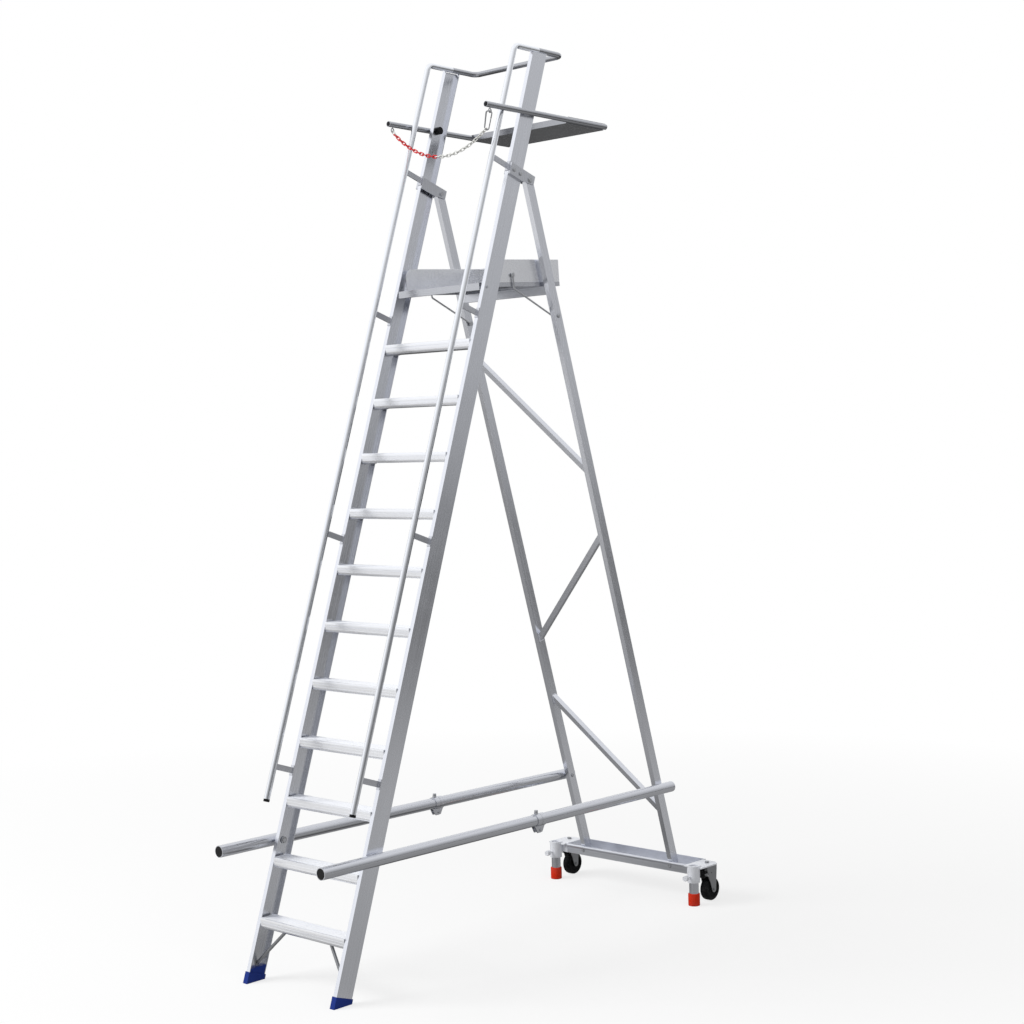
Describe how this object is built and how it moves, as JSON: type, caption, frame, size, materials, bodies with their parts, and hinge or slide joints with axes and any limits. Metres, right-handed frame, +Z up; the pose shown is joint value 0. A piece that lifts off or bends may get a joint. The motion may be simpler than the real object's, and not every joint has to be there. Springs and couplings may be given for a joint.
{
  "type": "platform stepladder",
  "caption": "Mobile aluminium platform stepladder: leaning treads with handrails, guarded platform with tool tray, folding rear frame on castors and pull-out feet.",
  "frame": {"origin": "on the floor, at the middle of the overall length and width", "axes": "+Z up, +Y from the climbing side to the rear, +X to the right of a person climbing"},
  "size_m": [0.96, 2.413, 3.9545],
  "materials": {
    "satin_aluminium": "satin mill",
    "zinc_steel": "zinc plated",
    "blue_plastic": "moulded",
    "black_plastic": "moulded",
    "black_tyre": "matt",
    "red_rubber": "matt",
    "red_plastic": "moulded",
    "white_plastic": "moulded"
  },
  "bodies": {
    "ladder": {"carabiner": "zinc_steel", "chain_eyes": "zinc_steel", "chain_red": "red_plastic", "chain_white": "white_plastic", "handrail_brackets": "satin_aluminium", "handrail_left": "satin_aluminium", "handrail_right": "satin_aluminium", "hinge_brackets": "satin_aluminium", "hinge_fasteners": "zinc_steel", "knee_braces": "zinc_steel", "mid_rails": "satin_aluminium", "rail_caps": "black_plastic", "rail_knobs": "black_plastic", "stile_feet": "blue_plastic", "stile_left": "satin_aluminium", "stile_right": "satin_aluminium", "tool_tray": "satin_aluminium", "top_rail": "satin_aluminium", "tread_01": "satin_aluminium", "tread_02": "satin_aluminium", "tread_03": "satin_aluminium", "tread_04": "satin_aluminium", "tread_05": "satin_aluminium", "tread_06": "satin_aluminium", "tread_07": "satin_aluminium", "tread_08": "satin_aluminium", "tread_09": "satin_aluminium", "tread_10": "satin_aluminium", "tread_11": "satin_aluminium", "tread_brackets": "satin_aluminium"},
    "rear_frame": {"rear_leg_left": "satin_aluminium", "rear_leg_right": "satin_aluminium", "brace_upper": "satin_aluminium", "brace_middle": "satin_aluminium", "brace_lower": "satin_aluminium", "cross_tube": "satin_aluminium", "base_beam": "satin_aluminium", "end_brackets": "satin_aluminium", "frame_bolts": "zinc_steel"},
    "platform": {"platform_deck": "satin_aluminium", "toe_boards": "satin_aluminium"},
    "stays": {"platform_stays": "zinc_steel"},
    "front_bars": {"front_bars": "satin_aluminium", "bar_caps": "black_plastic", "bar_fasteners": "zinc_steel"},
    "rear_bars": {"rear_bars": "satin_aluminium"},
    "knee_latches": {"knee_latches": "zinc_steel"},
    "gate": {"carabiner_gate": "zinc_steel"},
    "castor_left": {"castor_fork_left": "zinc_steel"},
    "wheel_left": {"castor_wheel_left": "black_tyre"},
    "pedal_left": {"brake_pedal_left": "black_plastic"},
    "foot_left": {"foot_tube_left": "satin_aluminium", "foot_tip_left": "red_rubber"},
    "screw_left": {"lock_screw_left": "zinc_steel"},
    "castor_right": {"castor_fork_right": "zinc_steel"},
    "wheel_right": {"castor_wheel_right": "black_tyre"},
    "pedal_right": {"brake_pedal_right": "black_plastic"},
    "foot_right": {"foot_tube_right": "satin_aluminium", "foot_tip_right": "red_rubber"},
    "screw_right": {"lock_screw_right": "zinc_steel"}
  },
  "joints": [
    {"name": "rear_fold", "type": "hinge", "parent": "ladder", "child": "rear_frame", "pos_m": [0, 0.11551, 3.362], "axis": [-1, 0, 0], "range_deg": [0, 34.96]},
    {"name": "platform_fold", "type": "hinge", "parent": "ladder", "child": "platform", "pos_m": [0, -0.16204, 2.88], "axis": [1, 0, 0], "range_deg": [0, 68.04]},
    {"name": "stay_swing", "type": "hinge", "parent": "rear_frame", "child": "stays", "pos_m": [0, 0.29213, 2.777], "axis": [-1, 0, 0], "range_deg": [0, 8.33]},
    {"name": "front_bar_fold", "type": "hinge", "parent": "ladder", "child": "front_bars", "pos_m": [0, -0.89507, 0.557], "axis": [1, 0, 0], "range_deg": [0, 71.84]},
    {"name": "knee_fold", "type": "hinge", "parent": "front_bars", "child": "rear_bars", "pos_m": [0, 0.05876, 0.514], "axis": [-1, 0, 0], "range_deg": [0, 180]},
    {"name": "latch_pull", "type": "slide", "parent": "front_bars", "child": "knee_latches", "axis": [0, 0, 1], "range_m": [0, 0.008], "stiffness_N_per_m": 300},
    {"name": "castor_swivel_left", "type": "hinge", "parent": "rear_frame", "child": "castor_left", "pos_m": [-0.435, 1.1315, 0.184], "axis": [0, 0, 1], "continuous": true},
    {"name": "wheel_spin_left", "type": "hinge", "parent": "castor_left", "child": "wheel_left", "pos_m": [-0.435, 1.1515, 0.0565], "axis": [1, 0, 0], "continuous": true},
    {"name": "brake_left", "type": "hinge", "parent": "castor_left", "child": "pedal_left", "pos_m": [-0.435, 1.1315, 0.14], "axis": [-1, 0, 0], "range_deg": [0, 12]},
    {"name": "foot_slide_left", "type": "slide", "parent": "rear_frame", "child": "foot_left", "axis": [0, 0, -1], "range_m": [0, 0.04]},
    {"name": "lock_turn_left", "type": "hinge", "parent": "rear_frame", "child": "screw_left", "pos_m": [-0.435, 0.9525, 0.14], "axis": [0, -1, 0], "continuous": true},
    {"name": "castor_swivel_right", "type": "hinge", "parent": "rear_frame", "child": "castor_right", "pos_m": [0.435, 1.1315, 0.184], "axis": [0, 0, 1], "continuous": true},
    {"name": "wheel_spin_right", "type": "hinge", "parent": "castor_right", "child": "wheel_right", "pos_m": [0.435, 1.1515, 0.0565], "axis": [1, 0, 0], "continuous": true},
    {"name": "brake_right", "type": "hinge", "parent": "castor_right", "child": "pedal_right", "pos_m": [0.435, 1.1315, 0.14], "axis": [-1, 0, 0], "range_deg": [0, 12]},
    {"name": "foot_slide_right", "type": "slide", "parent": "rear_frame", "child": "foot_right", "axis": [0, 0, -1], "range_m": [0, 0.04]},
    {"name": "lock_turn_right", "type": "hinge", "parent": "rear_frame", "child": "screw_right", "pos_m": [0.435, 0.9525, 0.14], "axis": [0, -1, 0], "continuous": true},
    {"name": "gate_swing", "type": "hinge", "parent": "ladder", "child": "gate", "pos_m": [0.29478, -0.14355, 3.56088], "axis": [0, -1, 0], "range_deg": [0, 18], "stiffness_Nm_per_rad": 0.02}
  ],
  "couplings": [
    {"joint": "platform_fold", "follows": "rear_fold", "ratio": 1.9462},
    {"joint": "stay_swing", "follows": "rear_fold", "ratio": 0.23836},
    {"joint": "front_bar_fold", "follows": "rear_fold", "ratio": 2.0549},
    {"joint": "knee_fold", "follows": "rear_fold", "ratio": 5.1487}
  ]
}
